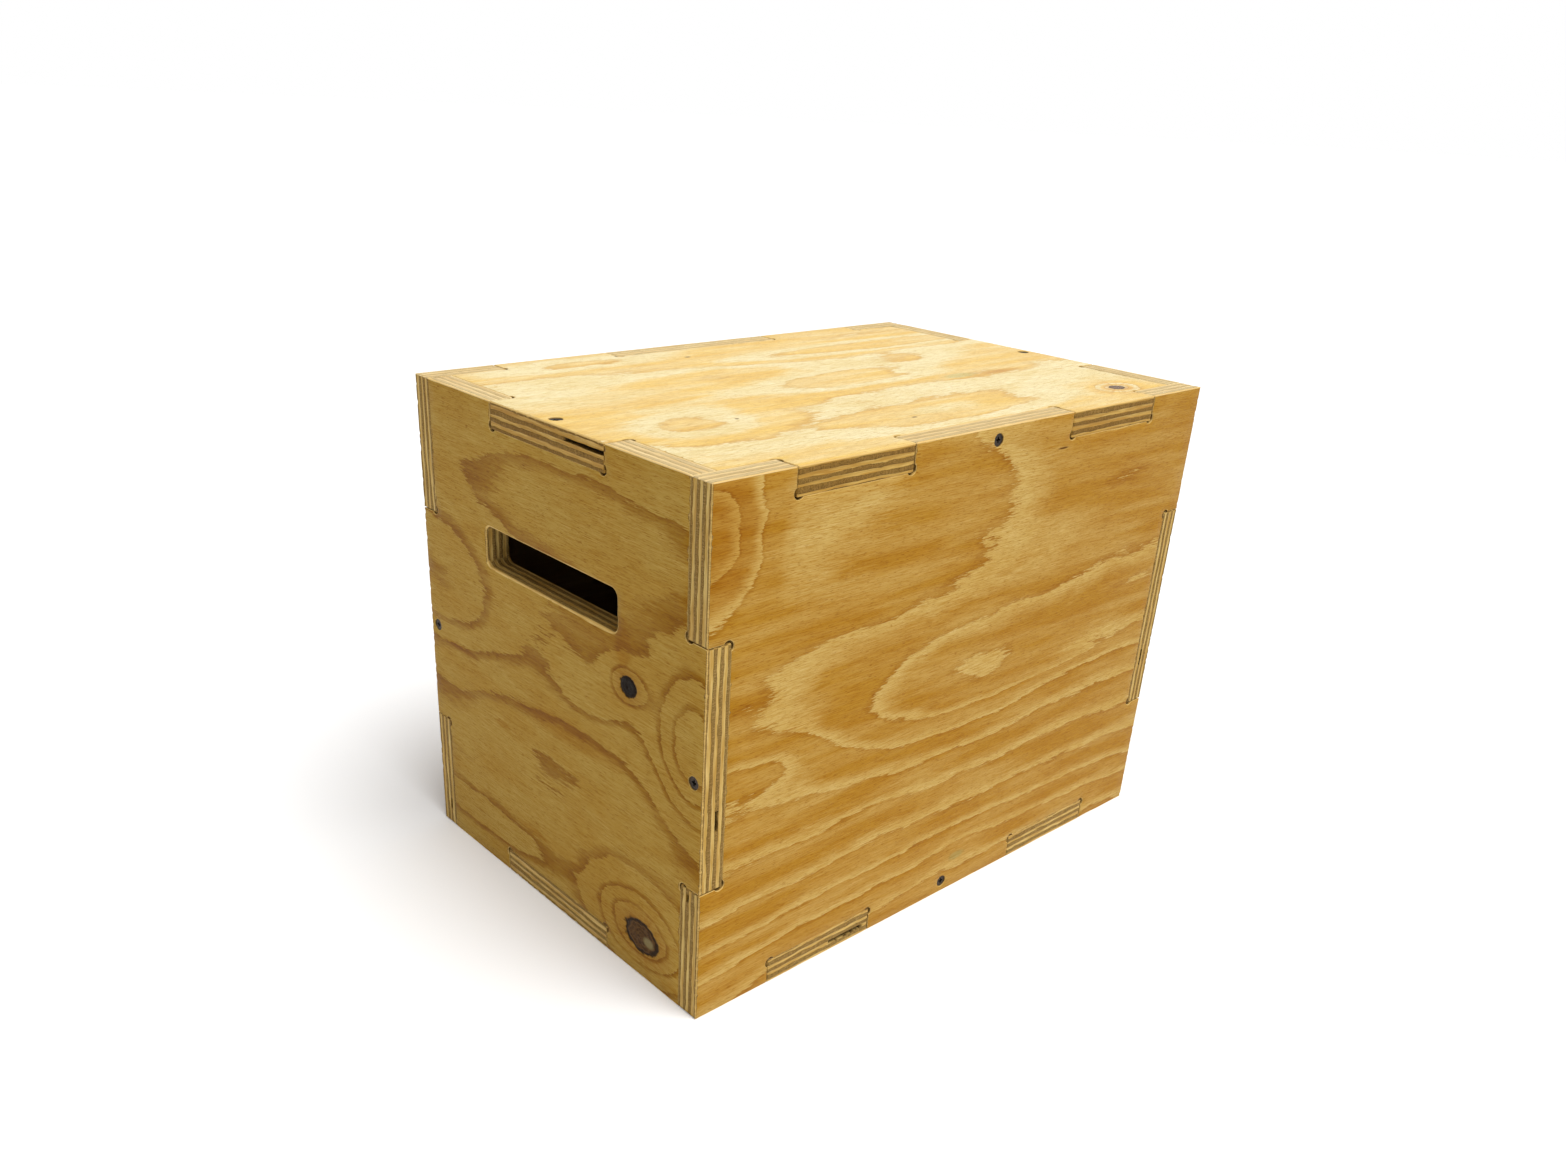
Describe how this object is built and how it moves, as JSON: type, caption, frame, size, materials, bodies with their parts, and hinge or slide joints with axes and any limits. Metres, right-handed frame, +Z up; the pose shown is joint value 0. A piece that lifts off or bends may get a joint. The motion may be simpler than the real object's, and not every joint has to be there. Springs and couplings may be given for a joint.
{
  "type": "apple box",
  "caption": "Hollow plywood step box with interlocking finger-jointed corners, countersunk screws and a hand hole in each end.",
  "frame": {"origin": "middle of the base, on the floor", "axes": "+X along the length towards the right end, +Y from the front panel to the back panel, +Z up"},
  "size_m": [0.48, 0.32, 0.355],
  "materials": {
    "plywood": "clear varnished pine plywood, honey coloured, with bare layered edges",
    "screw_steel": "dark oxidised steel"
  },
  "bodies": {
    "root": {"front_panel": "plywood", "back_panel": "plywood", "left_end_panel": "plywood", "right_end_panel": "plywood", "top_panel": "plywood", "bottom_panel": "plywood", "front_screws": "screw_steel", "back_screws": "screw_steel", "left_end_screws": "screw_steel", "right_end_screws": "screw_steel", "top_screws": "screw_steel", "bottom_screws": "screw_steel"}
  },
  "joints": []
}
